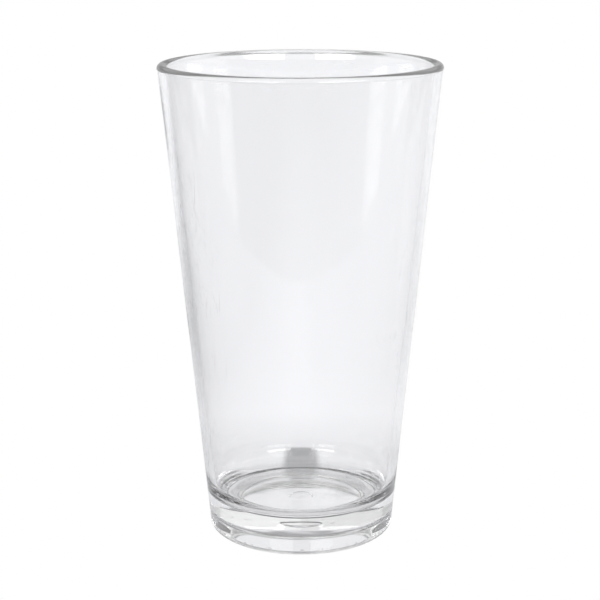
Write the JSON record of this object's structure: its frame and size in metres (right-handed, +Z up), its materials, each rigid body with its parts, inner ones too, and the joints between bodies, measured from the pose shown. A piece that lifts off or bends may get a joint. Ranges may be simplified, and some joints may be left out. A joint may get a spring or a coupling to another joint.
{
  "type": "mixing glass",
  "caption": "Clear moulded plastic mixing glass: a tall straight-sided cone with a rounded lip, a thick base with a curved inside floor, and a shallow hollow under the foot.",
  "frame": {"origin": "centre of the foot, on the table", "axes": "+Z up along the glass's own axis, from the foot to the mouth; X and Y are alike, since the glass is round"},
  "size_m": [0.0872, 0.0872, 0.149],
  "materials": {
    "clear_plastic": "water-clear moulded plastic, polished inside and out, with fine handling scratches"
  },
  "bodies": {
    "root": {"tumbler": "clear_plastic"}
  },
  "joints": []
}
